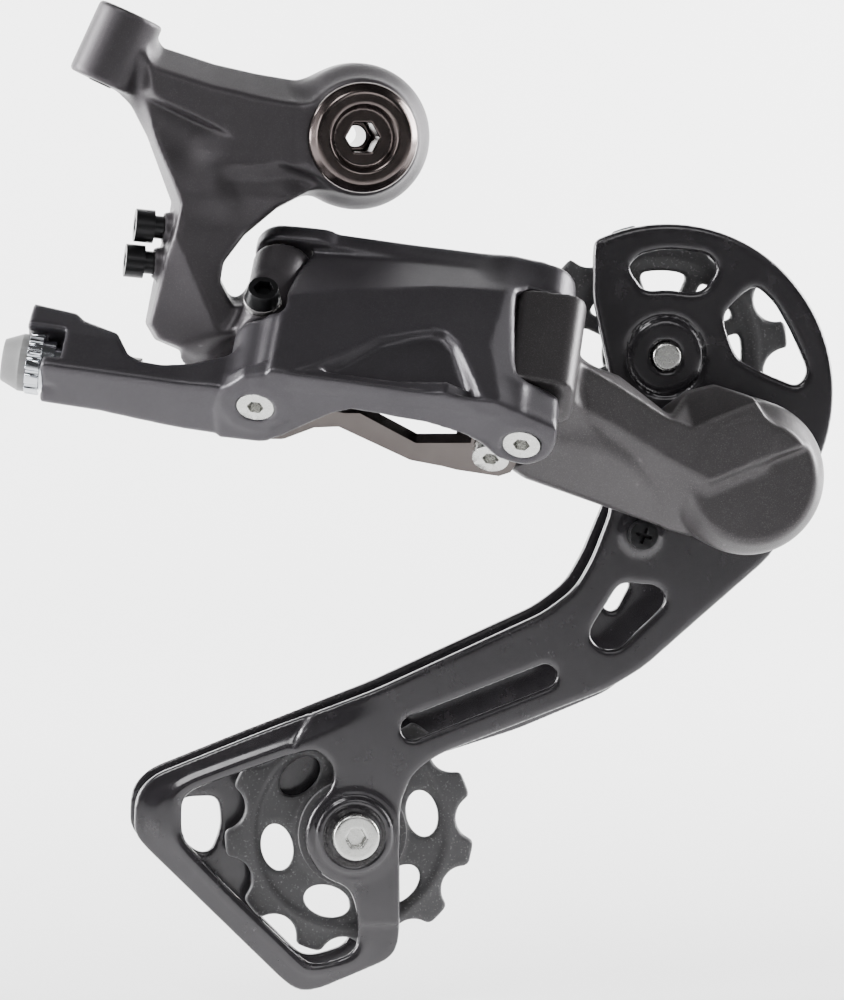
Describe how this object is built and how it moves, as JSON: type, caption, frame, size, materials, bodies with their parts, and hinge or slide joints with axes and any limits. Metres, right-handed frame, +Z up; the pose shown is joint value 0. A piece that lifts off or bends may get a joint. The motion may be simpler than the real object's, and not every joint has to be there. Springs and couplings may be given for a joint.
{
  "type": "rear bicycle derailleur",
  "caption": "Long-cage rear bicycle derailleur: slanted parallelogram, sprung cage with guide and tension pulleys, barrel adjuster and hollow hanger bolt.",
  "frame": {"origin": "on the hanger bolt's axis, in the face that seats on the frame hanger", "axes": "+Y along the hanger bolt, inboard towards the wheel; +X forward as seen from the drive side; +Z up"},
  "size_m": [0.1451, 0.0576, 0.1704],
  "materials": {
    "bolt_black": "polished black nickel",
    "washer_steel": "dark zinc",
    "bushing": "satin",
    "seal": "matte",
    "upper_cast": "matte dark grey anodised",
    "link_cast": "satin graphite with fine sparkle",
    "lower_cast": "satin graphite with fine sparkle",
    "black_screw": "black oxide",
    "zinc": "bright zinc",
    "nickel_plate": "dark nickel, satin",
    "spring_steel": "bright",
    "chrome_ring": "polished",
    "cap_grey": "moulded grey",
    "cage_black": "satin black",
    "pulley_black": "moulded black",
    "axle_steel": "ground steel"
  },
  "bodies": {
    "root": {"hanger_bolt": "bolt_black", "stop_washer": "washer_steel"},
    "upper_knuckle": {"b_knuckle": "upper_cast", "bolt_bushing": "bushing", "bolt_seal": "seal", "rear_pivot_bushes": "bushing", "cable_anchor_bolt": "black_screw", "cable_anchor_washer": "washer_steel", "spring_anchor": "black_screw", "return_spring": "spring_steel"},
    "b_screw": {"b_tension_screw": "black_screw"},
    "high_screw": {"limit_screw_high": "black_screw"},
    "low_screw": {"limit_screw_low": "black_screw"},
    "outer_arm": {"outer_link": "link_cast", "outer_rear_pin": "zinc", "outer_front_pin": "zinc", "adjuster_nut": "washer_steel", "adjuster_spring": "spring_steel"},
    "adjuster": {"barrel_adjuster": "chrome_ring", "adjuster_cap": "cap_grey"},
    "inner_arm": {"inner_link": "nickel_plate", "inner_rear_pin": "zinc", "inner_front_pin": "zinc"},
    "lower_knuckle": {"p_knuckle": "lower_cast", "front_pivot_bushes": "bushing", "cage_seal": "seal", "cage_spring": "spring_steel"},
    "cage": {"cage_axle": "axle_steel", "outer_cage_plate": "cage_black", "inner_cage_plate": "cage_black", "cage_stop_screw": "black_screw", "guide_pulley_bolt": "zinc", "guide_pulley_bush": "axle_steel", "guide_pulley_caps": "pulley_black", "tension_pulley_bolt": "zinc", "tension_pulley_bush": "axle_steel", "tension_pulley_caps": "pulley_black"},
    "guide_wheel": {"guide_pulley": "pulley_black"},
    "tension_wheel": {"tension_pulley": "pulley_black"}
  },
  "joints": [
    {"name": "hanger_pivot", "type": "hinge", "parent": "root", "child": "upper_knuckle", "pos_m": [0, 0, 0], "axis": [0, 1, 0], "range_deg": [-5, 15]},
    {"name": "b_screw_travel", "type": "slide", "parent": "upper_knuckle", "child": "b_screw", "axis": [0.422, 0, 0.9066], "range_m": [-0.002, 0.004]},
    {"name": "high_limit_travel", "type": "slide", "parent": "upper_knuckle", "child": "high_screw", "axis": [-0.9945, 0, 0.1045], "range_m": [-0.0004, 0.003]},
    {"name": "low_limit_travel", "type": "slide", "parent": "upper_knuckle", "child": "low_screw", "axis": [-0.9945, 0, 0.1045], "range_m": [-0.0008, 0.003]},
    {"name": "outer_swing", "type": "hinge", "parent": "upper_knuckle", "child": "outer_arm", "pos_m": [-0.01667, -0.01958, -0.03374], "axis": [0.2223, 0.6947, 0.6841], "range_deg": [0, 55], "stiffness_Nm_per_rad": 0.5, "springref_deg": -34.38, "deforming": ["return_spring"]},
    {"name": "inner_swing", "type": "hinge", "parent": "upper_knuckle", "child": "inner_arm", "pos_m": [-0.0203, -0.00616, -0.04034], "axis": [0.2223, 0.6947, 0.6841], "range_deg": [0, 55]},
    {"name": "lower_pivot", "type": "hinge", "parent": "outer_arm", "child": "lower_knuckle", "pos_m": [0.02826, -0.02257, -0.03507], "axis": [0.2223, 0.6947, 0.6841], "range_deg": [-55, 0]},
    {"name": "adjuster_turn", "type": "hinge", "parent": "outer_arm", "child": "adjuster", "pos_m": [-0.05586, -0.01787, -0.03736], "axis": [-0.9747, 0.1765, 0.1375], "continuous": true},
    {"name": "cage_swing", "type": "hinge", "parent": "lower_knuckle", "child": "cage", "pos_m": [0.066, -0.003, -0.058], "axis": [0, -1, 0], "range_deg": [0, 100], "stiffness_Nm_per_rad": 0.25, "springref_deg": -85.94, "deforming": ["cage_spring"]},
    {"name": "guide_spin", "type": "hinge", "parent": "cage", "child": "guide_wheel", "pos_m": [0.054, 0.004, -0.038], "axis": [0, 1, 0], "continuous": true},
    {"name": "tension_spin", "type": "hinge", "parent": "cage", "child": "tension_wheel", "pos_m": [0, 0.004, -0.12], "axis": [0, 1, 0], "continuous": true}
  ],
  "couplings": [
    {"joint": "inner_swing", "follows": "outer_swing", "ratio": 1},
    {"joint": "lower_pivot", "follows": "outer_swing", "ratio": -1}
  ]
}
